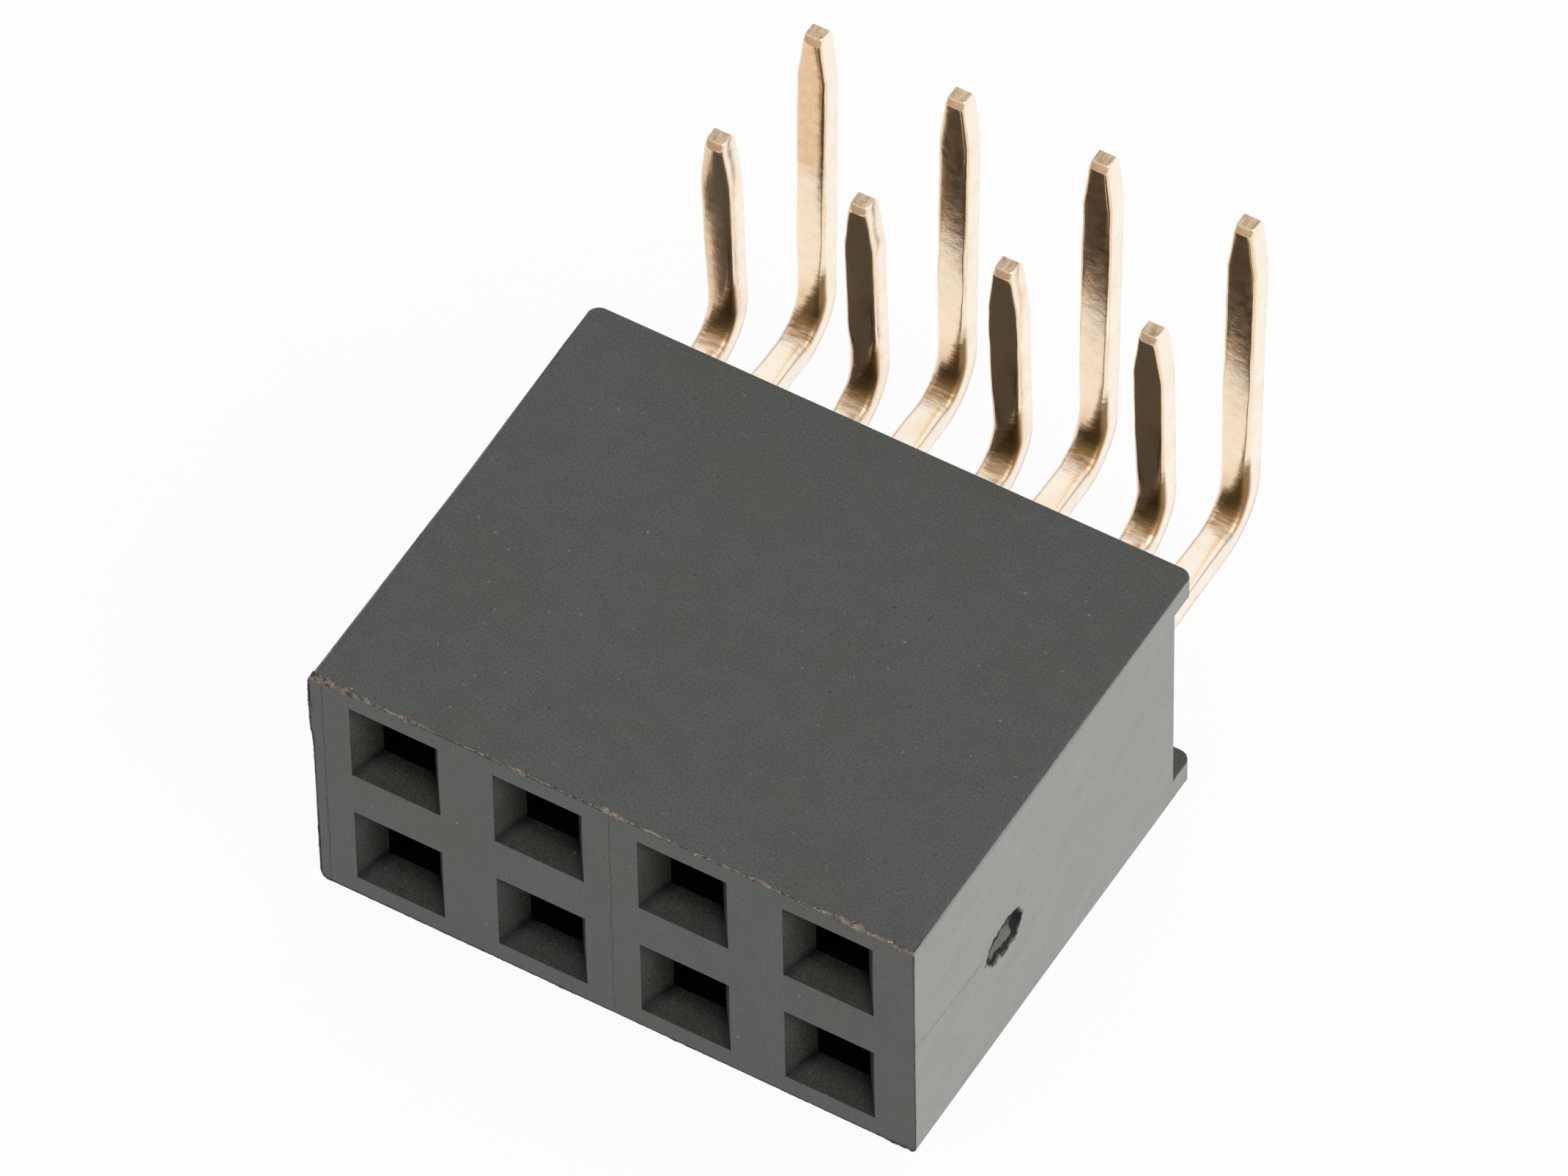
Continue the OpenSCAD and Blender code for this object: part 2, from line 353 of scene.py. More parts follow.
def moulded_plastic(
    name, look, axes, tint=None, rougher=0.0, share=0.2, streak=None, deep=0.1, seams=(),
    shine=0.5, ior=1.52, pale_grain_and_corner_shade=0.0,
):
    """Black glass-filled plastic: grain, browner patches, pale specks, pits, draw streaks and seams.

    axes name the wall's own two directions, tint its colour, share how many specks show, streak the
    stretch of its draw streaks, deep their strength, shine and ior its gloss, and
    pale_grain_and_corner_shade how much pale grain a lead-in has; where it is set, the lead-in is also
    darkened towards the corners between its slopes, as painted shade.
    """
    material, tree, shader = new_material(name)
    place = object_mm(tree)
    tint = tint or look.plastic
    warm = [part * kept for part, kept in zip(tint, look.warmth)]
    patches = spread(tree, noise_value(tree, place, 0.45, 5.0, 0.6), 0.42, 0.66)
    cloud = noise_value(tree, place, 2.2, 3.0, 0.55)
    grain = noise_value(tree, place, 25.0, 3.0, 0.65)
    base = shaded(tree, mix_colour(tree, patches, tint, warm), spread(tree, cloud, 0.3, 0.7, 0.93, 1.07))
    base = shaded(tree, base, spread(tree, grain, 0.33, 0.67, 0.62, 1.38))
    height = grain
    if streak:
        run = noise_value(tree, object_mm(tree, streak, math.radians(-10.0)), 1.0, 5.0, 0.65)
        streaks = spread(tree, run, 0.32, 0.68)
        base = shaded(tree, base, spread(tree, streaks, 0.0, 1.0, 1.0 - deep, 1.0 + deep))
        height = maths(tree, "ADD", height, times(tree, streaks, 4.0 * deep))
    if pale_grain_and_corner_shade:
        pale = spread(tree, noise_value(tree, place, 26.0, 3.0, 0.7), 0.5, 0.66, 0.0, pale_grain_and_corner_shade)
        base = mix_colour(tree, pale, base, [2.6 * part for part in warm])
        # Darker towards the corners between the slopes: painted shade
        base = shaded(tree, base, spread(tree, corner_distance(tree, place), 0.0, 0.2, 0.22, 1.0))
    flat = in_plane(tree, place, axes)
    clusters = spread(tree, noise_value(tree, place, 0.5, 2.0), 0.35, 0.62)
    fine = times(tree, specks(tree, flat, 2.6, 0.020, share), clusters)
    coarse = times(tree, specks(tree, flat, 0.9, 0.030, 0.5 * share), 0.7)
    base = mix_colour(tree, maths(tree, "MAXIMUM", fine, coarse), base, look.speck)
    pits = specks(tree, flat, 1.7, 0.03, 0.5 * share)
    base = mix_colour(tree, times(tree, pits, 0.7), base, look.pit)
    height = maths(tree, "SUBTRACT", height, times(tree, pits, 1.5))
    for seam in seams:
        line = seam_mask(tree, place, *seam)
        base = mix_colour(tree, line, base, look.seam)
        height = maths(tree, "SUBTRACT", height, times(tree, line, 3.0))
    middle = look.roughness + rougher
    rough = spread(tree, grain, 0.25, 0.75, middle - 0.06, middle + 0.06)
    surfaced(tree, shader, base, height, 0.5, 0.008, Roughness=rough, IOR=ior, Specular_IOR_Level=shine)
    return material


def end_plastic(look):
    """The ends' finish: a lighter copy of the plastic as painted light, draw streaks, and the line where the
    plastic met as it filled the mould.
    """
    knit_line = (("Z", 2.3, 1.1 * look.seam_width * PER_MM, 0.072, -2.1, 0.7),)
    return moulded_plastic(
        "moulding_end_painted_light", look, "YZ", look.painted_end_light, -0.1, 0.08, (1.0, 0.9, 3.6), 0.16, knit_line, 0.92, 2.0
    )


def torn_plastic(name, look, low=0.36, high=0.62, pale=0.3):
    """Torn plastic: brown and dark clumps, with pale fibre ends and dust."""
    material, tree, shader = new_material(name)
    place = object_mm(tree)
    clumps = spread(tree, noise_value(tree, place, 6.0, 5.0, 0.7), low, high)
    gaps = spread(tree, noise_value(tree, place, 7.8, 4.0, 0.7), 0.52, 0.62, 0.0, 0.85)
    bright = spread(tree, noise_value(tree, place, 19.2, 4.0, 0.7), 0.72 - 0.4 * pale, 0.8 - 0.3 * pale)
    base = mix_colour(tree, clumps, look.plastic, look.flash)
    base = mix_colour(tree, gaps, base, look.crack)
    base = mix_colour(tree, bright, base, look.fibre)
    surfaced(tree, shader, base, clumps, 0.8, 0.012, Roughness=0.7, Specular_IOR_Level=0.35)
    return material


def torn_gate_plastic(look):
    """The torn gate: the attribute torn says how dark, as painted shade in its trench and groove over its
    torn tone.
    """
    material, tree, shader = new_material("torn_gate")
    clumps = noise_value(tree, object_mm(tree), 12.0, 4.0, 0.7)
    darkness = maths(tree, "ADD", attribute(tree, "torn"), spread(tree, clumps, 0.3, 0.7, -0.15, 0.15))
    base = mix_colour(tree, spread(tree, darkness, 0.42, 0.8), look.torn, look.hollow_painted_shade)
    surfaced(tree, shader, base, clumps, 0.7, 0.02, Roughness=0.6, Specular_IOR_Level=0.25)
    return material


def gold_plating(name, look, row):
    """Pale gold plating: rolling lines, an uneven skin, creases and wear in the bend, and brown stains.
    Painted light on it: a paler colour on the run and the sides as a painted highlight, and a painted dark
    reflection in the bend, up its right edge and on the front towards the tip.

    The attributes along, across, through and front say where on the strip a point lies.
    """
    material, tree, shader = new_material(name)
    along, across, through, front = (attribute(tree, key) for key in STRIP_PLACES)
    split = add_node(tree, "ShaderNodeSeparateXYZ", Vector=object_mm(tree))
    strip = add_node(tree, "ShaderNodeCombineXYZ", X=split.outputs["X"], Y=along, Z=through).outputs[0]
    lines = noise_value(tree, stretched(tree, strip, (22.0, 1.2, 22.0)), 1.0, 3.0, 0.6)
    creases = noise_value(tree, stretched(tree, strip, (3.0, 13.0, 3.0)), 1.0, 5.0, 0.7)
    skin = noise_value(tree, strip, 6.0, 4.0, 0.6)
    run = row.run * PER_MM
    bend = row.bend * PER_MM
    leg_start = run + bend
    bent = times(
        tree, spread(tree, along, run - 0.1, run + 0.35),
        spread(tree, along, leg_start - 0.1, leg_start + 0.5, 1.0, 0.0),
    )
    ragged = maths(tree, "ADD", along, spread(tree, creases, 0.2, 0.8, -0.35, 0.35))
    # Browner fronts towards the tip and in the bend: painted reflection
    painted_front_reflection = spread(tree, ragged, row.front_reflection_from - 0.25, row.front_reflection_from + 0.25)
    painted_front_reflection = maths(tree, "MAXIMUM", painted_front_reflection, times(tree, bent, 0.85))
    painted_front_reflection = times(tree, painted_front_reflection, spread(tree, skin, 0.25, 0.6, 0.7, 1.0), front)
    cloud = spread(tree, noise_value(tree, strip, 1.7, 4.0, 0.6), 0.45, 0.75, 0.0, 0.3)
    pepper = spread(tree, noise_value(tree, strip, 26.0, 3.0, 0.65), 0.58, 0.72, 0.0, 0.45)
    # Everywhere but the front of the leg the plating is paler: a painted highlight
    leg = times(tree, front, spread(tree, along, run + 0.4 * bend, leg_start))
    base = mix_colour(tree, leg, look.painted_highlight, look.plating)
    base = mix_colour(tree, maths(tree, "MAXIMUM", painted_front_reflection, cloud, pepper), base, look.tarnish_and_painted_reflection)
    # The wear covers the bend, and narrows to the right edge above it; its dark colour is painted
    # reflection, its higher roughness the wear
    side = maths(tree, "ADD", across, spread(tree, creases, 0.25, 0.75, -0.3, 0.3))
    limit = spread(tree, along, run + 0.5 * bend, leg_start + 0.9, -0.75, 1.05)
    wear_and_painted_reflection = times(
        tree, spread(tree, maths(tree, "SUBTRACT", side, limit), -0.15, 0.35),
        spread(tree, ragged, run - 0.1, run + 0.5),
        spread(tree, along, leg_start + 0.5, leg_start + 0.95, 1.0, 0.0),
        spread(tree, front, 0.15, 0.6),
    )
    base = mix_colour(tree, wear_and_painted_reflection, base, look.wear_and_painted_reflection)
    height = maths(tree, "ADD", times(tree, lines, 0.25), skin, times(tree, creases, bent, 1.6))
    even = spread(tree, skin, 0.3, 0.7, look.roughness - 0.04, look.roughness + 0.06)
    rough = maths(tree, "ADD", even, times(tree, bent, 0.06), times(tree, wear_and_painted_reflection, 0.16))
    surfaced(tree, shader, base, height, 0.3, 0.012, Roughness=rough, Metallic=1.0)
    return material


def sheared_metal(look):
    """The bare cut end of a tail."""
    material, tree, shader = new_material("sheared_tip")
    marks = spread(tree, noise_value(tree, object_mm(tree, (1.0, 0.3, 1.0)), 9.0, 4.0, 0.7), 0.35, 0.65)
    base = mix_colour(tree, times(tree, marks, 0.6), look.sheared_end, look.plating)
    surfaced(tree, shader, base, marks, 0.7, 0.02, Roughness=0.45, Metallic=0.9)
    return material


# Meshes

WIDEST_BEVEL = 0.2 * MM
BEVEL_WEIGHT = "bevel_weight_edge"


def clamped(value, low=0.0, high=1.0):
    """A value held between two limits."""
    return min(high, max(low, value))


def bell(value, middle, half_width):
    """A smooth bump of height 1 about a middle value."""
    return math.exp(-(((value - middle) / half_width) ** 2))


def wander(x, y, z, scale_per_mm):
    """Smooth noise, about -1 to 1, at a place, with a scale in features for each millimetre."""
    return 2.0 * noise.noise(Vector((x, y, z)) * PER_MM * scale_per_mm)


def kept_in_box(point):
    """Holds a point inside the solids' box at the front, the ends and below."""
    low, high = CAD_BOX
    return Vector((clamped(point.x, low[0], high[0]), max(point.y, low[1]), max(point.z, low[2])))


def finished(bm, name, materials, node=None, sharp_degrees=32.0, flat_sides=False):
    """Makes the bmesh an object that rides on the part, smooth but for its sharp edges.

    flat_sides keeps large faces flat beside the small rounded edges.
    """
    mesh = bpy.data.meshes.new(name)
    bm.to_mesh(mesh)
    bm.free()
    for material in materials:
        mesh.materials.append(material)
    mesh.polygons.foreach_set("use_smooth", [True] * len(mesh.polygons))
    mesh.set_sharp_from_angle(angle=math.radians(sharp_degrees))
    piece = bpy.data.objects.new(name, mesh)
    bpy.context.scene.collection.objects.link(piece)
    if BEVEL_WEIGHT in mesh.attributes:
        rounded = piece.modifiers.new("rounded_edges", "BEVEL")
        rounded.width = WIDEST_BEVEL
        rounded.segments = 4
        rounded.limit_method = "WEIGHT"
        rounded.loop_slide = False
        rounded.use_clamp_overlap = False
    if flat_sides:
        weighted = piece.modifiers.new("flat_sides", "WEIGHTED_NORMAL")
        weighted.keep_sharp = True
        weighted.weight = 80
    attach(piece, BODY)
    if node:
        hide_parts(node)


def sharp_edges(bm, chosen, least_degrees=25.0):
    """The convex edges sharper than least_degrees that the test picks."""
    least = math.radians(least_degrees)
    return [
        edge
        for edge in bm.edges
        if edge.is_manifold and edge.is_convex and edge.calc_face_angle() > least and chosen(edge)
    ]


def round_edges(bm, edges, radius):
    """Rounds edges with bevels of one radius."""
    bmesh.ops.bevel(
        bm, geom=edges, offset=radius, offset_type="OFFSET", segments=2, profile=0.5,
        affect="EDGES", clamp_overlap=True, material=-1,
    )


def extruded(bm, face, move, keep=False):
    """Extrudes a face by a move and gives the face at its end.

    keep leaves the first face as the other end.
    """
    made = bmesh.ops.extrude_face_region(bm, geom=[face])["geom"]
    verts = [part for part in made if isinstance(part, bmesh.types.BMVert)]
    bmesh.ops.translate(bm, verts=verts, vec=move)
    if face.is_valid and not keep:
        bmesh.ops.delete(bm, geom=[face], context="FACES_ONLY")
    return next(part for part in made if isinstance(part, bmesh.types.BMFace))


def cut_faces(bm, faces, place, across):
    """Cuts faces along a plane."""
    around = {part for face in faces for part in (*face.edges, *face.verts)}
    bmesh.ops.bisect_plane(bm, geom=[*faces, *around], dist=0.1 * CLOSE, plane_co=place, plane_no=across)


def divide(edge, parts):
    """Splits an edge into equal parts."""
    near, far = edge.verts
    for left in range(parts, 1, -1):
        made, near = bmesh.utils.edge_split(edge, near, 1.0 / left)
        edge = next(part for part in (edge, made) if far in part.verts)


# Housing

def merged_copy(node):
    """A bmesh of a CAD node with its triangles merged into whole faces."""
    bm = bmesh.new()
    bm.from_mesh(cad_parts[node].data)
    bmesh.ops.remove_doubles(bm, verts=bm.verts, dist=0.4 * CLOSE)
    bmesh.ops.dissolve_limit(
        bm, angle_limit=math.radians(0.6), use_dissolve_boundaries=False, verts=bm.verts, edges=bm.edges
    )
    return bm


def on_outside(point, margin):
    """Whether a point lies on the housing's outer box, the back left out."""
    return (
        abs(abs(point.x) - RIGHT_END) < margin
        or abs(point.y - FRONT) < margin
        or abs(point.z - TOP) < margin
        or abs(point.z - HOUSING_LOW.z) < margin
    )


def near_gate(point):
    """Whether a point lies on or in the gate's recess."""
    return (point - GATE).length < 0.7 * MM


def well_inside(point, from_end, from_top):
    """Whether a point lies clear of the ends, the top and the underside."""
    return abs(point.x) < RIGHT_END - from_end and from_top < point.z < TOP - from_top


def is_mouth(edge):
    """Whether an edge is one of a socket's mouth."""
    return all(
        abs(vert.co.y - FRONT) < CLOSE and well_inside(vert.co, 0.1 * MM, 0.1 * MM) for vert in edge.verts
    )


def is_rim(edge, margin):
    """Whether an edge is one of the block's own, and not one of a mouth, a slot or the gate."""
    ends = [vert.co for vert in edge.verts]
    outer = all(on_outside(end, margin) and not near_gate(end) for end in ends)
    return outer and not all(well_inside(end, 0.3 * MM, 0.2 * MM) for end in ends)


def inset_walls(bm, look):
    """Draws the outer walls in by what the flash on their edges stands proud."""
    for vert in bm.verts:
        if abs(vert.co.y - FRONT) < CLOSE:
            vert.co.y += look.front_inset
        if abs(abs(vert.co.x) - RIGHT_END) < CLOSE:
            vert.co.x -= math.copysign(look.side_inset, vert.co.x)
        if abs(vert.co.z - TOP) < CLOSE:
            vert.co.z -= look.top_inset


def left_step(z, look):
    """How far the left end is drawn in at a height: the halves of the mould don't meet exactly."""
    share = clamped((z - STEP_START) / STEP_HEIGHT)
    return look.mould_step * (1.0 - share ** 2 * (3.0 - 2.0 * share))


def step_left_end(bm, look):
    """Gives the left end its step, with a few cuts across it."""
    limit = 0.1 * MM - RIGHT_END
    for level in (3.3, 3.45, 3.58, 3.7, 3.85):
        wall = [face for face in bm.faces if face.normal.x < -0.9 and face.calc_center_median().x < limit]
        cut_faces(bm, wall, (0.0, 0.0, level * MM), UP)
    for vert in bm.verts:
        if vert.co.x < limit:
            vert.co.x += left_step(vert.co.z, look)


def right_wall(bm):
    """The faces of the right end."""
    limit = RIGHT_END - 0.05 * MM
    return [face for face in bm.faces if face.normal.x > 0.9 and face.calc_center_median().x > limit]


def square_right_end(bm):
    """Cuts the right end square round the gate, so that no long slanted edge crosses it."""
    half = 0.8 * MM
    for axis in (1, 2):
        for side in (-half, half):
            place = GATE.copy()
            across = Vector()
            place[axis] += side
            across[axis] = 1.0
            cut_faces(bm, right_wall(bm), place, across)
    wall = set(right_wall(bm))
    slanted = []
    for edge in bm.edges:
        start, end = (vert.co - GATE for vert in edge.verts)
        crosses = min(abs(start.y - end.y), abs(start.z - end.z)) > 0.01 * MM
        outer = all(max(abs(point.y), abs(point.z)) > half - CLOSE for point in (start, end))
        if crosses and outer and wall.issuperset(edge.link_faces):
            slanted.append(edge)
    bmesh.ops.dissolve_edges(bm, edges=slanted, use_verts=True)


def edge_rounding(look, start, end):
    """Radius of an edge of the block. That of a long edge of an end narrows to the back."""
    if max(start.y, end.y) < FRONT + 0.05 * MM:
        return look.edge_radius
    if min(abs(start.x), abs(end.x)) < RIGHT_END - 0.1 * MM or abs(start.z - end.z) > 0.01 * MM:
        return look.back_radius
    widest = look.left_radius if start.x < 0.0 else look.right_radius
    share = clamped(1.0 - (start.y + end.y) / (6.0 * MM))
    return look.back_radius + (widest - look.back_radius) * share


def weigh_edges(bm, look):
    """Writes how wide each outer edge is to be rounded, as a share of the widest."""
    weights = bm.edges.layers.float.new(BEVEL_WEIGHT)
    margin = look.mould_step + 0.03 * MM
    for edge in sharp_edges(bm, lambda edge: is_rim(edge, margin)):
        start, end = (vert.co for vert in edge.verts)
        if abs(start.y - end.y) > 1.0 * MM and min(abs(start.x), abs(end.x)) > RIGHT_END - 0.1 * MM:
            divide(edge, math.ceil(abs(start.y - end.y) / (0.7 * MM)))
    for edge in sharp_edges(bm, lambda edge: is_rim(edge, margin)):
        edge[weights] = edge_rounding(look, *(vert.co for vert in edge.verts)) / WIDEST_BEVEL


def housing_faces(bm, front):
    """Gives each face its finish: 0 top and the rest, 1 front, 2 ends, 3 lead-ins, 4 deep in the sockets.
    The ends carry painted light, and the lead-ins and the sockets carry painted shade.
    """
    for face in bm.faces:
        centre = face.calc_center_median()
        if face.normal.y < -0.9 and centre.y < front + 0.01 * MM:
            face.material_index = 1
        elif abs(face.normal.x) > 0.9 and abs(centre.x) > RIGHT_END - 0.2 * MM:
            face.material_index = 2
        elif well_inside(centre, 0.3 * MM, 0.3 * MM):
            if centre.y < FRONT + LEAD_IN + 0.01 * MM:
                face.material_index = 3
            elif centre.y < RECESS - 0.01 * MM:
                face.material_index = 4


class STRIP_OT_housing(bpy.types.Operator):
    """Dress the moulded housing, with rounded edges and a finish for each kind of wall"""

    bl_idname = "strip.housing"
    bl_label = "Housing"

    def execute(self, context):
        look = context.scene.strip_housing
        bm = merged_copy("housing")
        mouths = sharp_edges(bm, is_mouth)
        inset_walls(bm, look)
        round_edges(bm, mouths, look.mouth_radius)
        step_left_end(bm, look)
        square_right_end(bm)
        weigh_edges(bm, look)
        housing_faces(bm, FRONT + look.front_inset)
        # One seam by the left end, one in the middle
        seam = 0.5 * look.seam_width * PER_MM
        far = 2.0 * HOUSING_DEPTH * PER_MM
        seams = (("X", -5.07, seam, 0.0, far, 0.95), ("X", 0.0, seam, 0.0, far, 0.9))
        materials = [
            moulded_plastic("moulding_top", look, "XY", share=0.22),
            moulded_plastic(
                "moulding_front", look, "XZ", look.front_face, 0.0, 0.08, (7.0, 1.0, 0.7), 0.07, seams
            ),
            # The ends get a lighter colour: painted light
            end_plastic(look),
            # The lead-ins get a darker colour and darker corners: painted shade
            moulded_plastic("moulding_lead_in_painted_shade", look, "XY", look.lead_in_painted_shade, 0.1, 0.1, shine=0.2, pale_grain_and_corner_shade=0.7),
            # Deep in the sockets the colour is near black: painted shade
            moulded_plastic("moulding_socket_painted_shade", look, "XY", look.socket, 0.3, 0.0, shine=0.05),
        ]
        finished(bm, "moulded_housing", materials, "housing", flat_sides=True)
        return {"FINISHED"}


# Contacts

BASE_BACK = RECESS - 0.2 * MM
SEAT = BASE_BACK - 1.3 * MM
SLOT_ROOT = SEAT - 0.3 * MM
FORK_TIP = FRONT + 1.2 * MM
PINCH = FORK_TIP + 0.95 * MM
FORK_WIDTH = 1.5 * MM
FORK_ROOT_WIDTH = 1.62 * MM
FORK_SLOT = 0.7 * MM
PINCH_GAP = 0.5 * MM
PINCH_RADIUS = 0.42 * MM
BASE_WIDTH = 1.86 * MM
BARB = 0.04 * MM
BARB_LENGTH = 0.36 * MM
TAPER = 0.97 * MM
TIP_BEVEL = 0.08 * MM
TIP_BEVEL_HEIGHT = 0.12 * MM
# Where on the strip a point lies, as the plating's materials read it
STRIP_PLACES = ("along", "across", "through", "front")


class Tail:
    """Where one row's contacts run: their height in the housing, their bend and their upright leg."""

    def __init__(self, row_z, tail_y, bend_radius, turn_degrees, reach, front_reflection_length):
        self.row_z = row_z
        self.bend_radius = bend_radius * MM
        self.turn = math.radians(turn_degrees)
        bend_y = tail_y * MM - self.bend_radius * math.sin(self.turn)
        self.centre = Vector((0.0, bend_y, self.row_z + self.bend_radius))
        self.leg_direction = Vector((0.0, math.cos(self.turn), math.sin(self.turn)))
        self.run = bend_y - BASE_BACK
        self.bend = self.bend_radius * self.turn
        leg_start = self.middle_at(self.run + self.bend)[0]
        self.length = self.run + self.bend + (TOP + reach * MM - leg_start.z) / math.sin(self.turn)
        # Where the painted reflection on the fronts begins, in mm along the strip
        self.front_reflection_from = self.length * PER_MM - front_reflection_length

    def middle_at(self, s):
        """The middle of the strip and the way its front faces, s along from the back of the base."""
        if s < self.run:
            return Vector((0.0, BASE_BACK + s, self.row_z)), UP
        angle = min((s - self.run) / self.bend_radius, self.turn)
        facing = Vector((0.0, -math.sin(angle), math.cos(angle)))
        past = max(0.0, s - self.run - self.bend)
        return self.centre - facing * self.bend_radius + self.leg_direction * past, facing

    def stations(self):
        """How far along the strip its sections stand, closer together in the bend and at the tip."""
        bend_end = self.run + self.bend
        taper_start = self.length - TAPER
        bevel_start = self.length - TIP_BEVEL_HEIGHT
        stations = []
        for start, end, count in (
            (-0.1 * MM, self.run, 8), (self.run, bend_end, 28), (bend_end, taper_start, 26),
            (taper_start, bevel_start, 8),
        ):
            stations += [start + (end - start) * k / count for k in range(count)]
        shares_left = (1.0, 0.75, 0.5, 0.25, 0.08, 0.0)
        return stations + [self.length - TIP_BEVEL_HEIGHT * share for share in shares_left]


ROWS = {
    "short": Tail(HIGH_ROW, 5.665, 0.73, 91.7, 3.48, 4.4),
    "long": Tail(LOW_ROW, 8.315, 0.8, 88.3, 2.96, 3.1),
}


def arc(centre_x, centre_y, radius, from_degrees, to_degrees, steps=8):
    """Points along an arc."""
    sweep = to_degrees - from_degrees
    turns = [math.radians(from_degrees + sweep * k / steps) for k in range(steps + 1)]
    return [(centre_x + radius * math.cos(turn), centre_y + radius * math.sin(turn)) for turn in turns]


def fork_outline():
    """The right half of a contact's flat end, from its back forward round the tine to the slot's root."""
    half_base = BASE_WIDTH / 2
    barbs = []
    for back in (BASE_BACK, (BASE_BACK + SEAT) / 2):
        for out, share in ((0.0, 1 / 6), (BARB, 1 / 4), (BARB, 1 / 3), (0.0, 1.0)):
            barbs.append((half_base + out, back - BARB_LENGTH * share))
    bump_middle = PINCH_GAP / 2 + PINCH_RADIUS
    bump = math.degrees(math.acos((bump_middle - FORK_SLOT / 2) / PINCH_RADIUS))
    return [
        (half_base, BASE_BACK),
        *barbs,
        (half_base, SEAT),
        (FORK_ROOT_WIDTH / 2, SEAT),
        (FORK_WIDTH / 2, FORK_TIP),
        ((FORK_SLOT + FORK_WIDTH) / 4, FORK_TIP),
        *arc(bump_middle, PINCH, PINCH_RADIUS, 180.0 + bump, 180.0 - bump),
        *arc(0.0, SLOT_ROOT - FORK_SLOT / 2, FORK_SLOT / 2, 0.0, 90.0),
    ]


def tail_section(look, half_width, half_stock, roll):
    """The strip's section as points across and through, with how far each is turned to the front."""
    roll = min(roll, 0.7 * half_width)
    burr = look.burr_radius
    points = []
    for k in range(6):
        rise = math.sin(math.radians(18.0 * k))
        out = half_width - roll + roll * math.cos(math.radians(18.0 * k))
        points.append((out, half_stock - roll + roll * rise, rise))
    for share in (0.6, 0.3, 0.0):
        points.append(((half_width - roll) * share, half_stock + look.crown * (1.0 - share ** 2), 1.0))
    points += [(-x, y, front) for x, y, front in reversed(points[:-1])]
    for side, turn in ((-1.0, 180.0), (1.0, 270.0)):
        corner = arc(side * (half_width - burr), burr - half_stock, burr, turn, turn + 90.0, 2)
        points += [(x, y, 0.0) for x, y in corner]
    return points


def section_at(row, look, seed, s):
    """The section of the strip at s: its points, the strip's middle there and the way its front faces."""
    past_taper = max(0.0, s - (row.length - TAPER)) / TAPER
    past_bevel = max(0.0, s - (row.length - TIP_BEVEL_HEIGHT)) / TIP_BEVEL_HEIGHT
    at_tip = max(0.0, past_bevel - 0.9) / 0.1
    half_width = look.tail_width / 2 + (look.tip_width - look.tail_width) / 2 * past_taper
    half_width += 0.004 * MM * wander(s, seed, 0.0, 2.5) - 0.012 * MM * at_tip
    half_stock = look.stock / 2 - TIP_BEVEL * past_bevel - 0.006 * MM * at_tip
    near_bend = bell(max(0.0, s - row.run - row.bend, row.run - s), 0.0, 0.75 * MM)
    roll = look.roll_radius * (0.85 + 0.9 * near_bend + 0.15 * wander(s, seed, 1.0, 1.5))
    return tail_section(look, half_width, half_stock, roll * (1.0 - 0.4 * past_bevel)), *row.middle_at(s)


def tail_shell(bm, row, look, seed):
    """Adds the strip from the base through the run and the bend to the tip, as a closed shell."""
    floats = bm.verts.layers.float
    along, across, through, front = (floats[key] for key in STRIP_PLACES)
    point, station = (bm.verts.layers.int[key] for key in ("point", "station"))
    stations = row.stations()
    first = tail_section(look, look.tail_width / 2, look.stock / 2, look.roll_radius)
    start_y = row.middle_at(stations[0])[0].y
    shell = [bm.verts.new((x, start_y, row.row_z + y)) for x, y, _ in first]
    for k, vert in enumerate(shell):
        vert[point] = k
    face = bm.faces.new(shell)
    for index in range(1, len(stations)):
        face = extruded(bm, face, Vector(), index == 1)
        for vert in face.verts:
            vert[station] = index
        shell += face.verts
    face.material_index = 1
    sections = [section_at(row, look, seed, s) for s in stations]
    for vert in shell:
        section, middle, facing = sections[vert[station]]
        out, depth, turned = section[vert[point]]
        vert.co = middle + Vector((out, 0.0, 0.0)) + facing * depth
        vert[along] = stations[vert[station]] * PER_MM
        vert[through] = depth * PER_MM
        vert[front] = turned
        vert[across] = out / (look.tail_width / 2)


def contact_mesh(row, look, seed):
    """One contact about x = 0: the flat fork and base, and the strip that bends up to the tail."""
    bm = bmesh.new()
    for key in STRIP_PLACES:
        bm.verts.layers.float.new(key)
    for key in ("point", "station"):
        bm.verts.layers.int.new(key)
    half = fork_outline()
    outline = half + [(-x, y) for x, y in reversed(half[:-1])]
    low = row.row_z - look.stock / 2
    blank = bm.faces.new([bm.verts.new((x, y, low)) for x, y in outline])
    extruded(bm, blank, Vector((0.0, 0.0, look.stock)), keep=True)
    bmesh.ops.recalc_face_normals(bm, faces=bm.faces)
    level = sharp_edges(bm, lambda edge: abs(edge.verts[0].co.z - edge.verts[1].co.z) < 0.01 * MM, 60.0)
    round_edges(bm, level, look.burr_radius)
    along, through = (bm.verts.layers.float[key] for key in ("along", "through"))
    for vert in bm.verts:
        vert[along] = (vert.co.y - BASE_BACK) * PER_MM
        vert[through] = (vert.co.z - row.row_z) * PER_MM
    tail_shell(bm, row, look, seed)
    for key in ("point", "station"):
        bm.verts.layers.int.remove(bm.verts.layers.int[key])
    bmesh.ops.recalc_face_normals(bm, faces=bm.faces)
    return bm


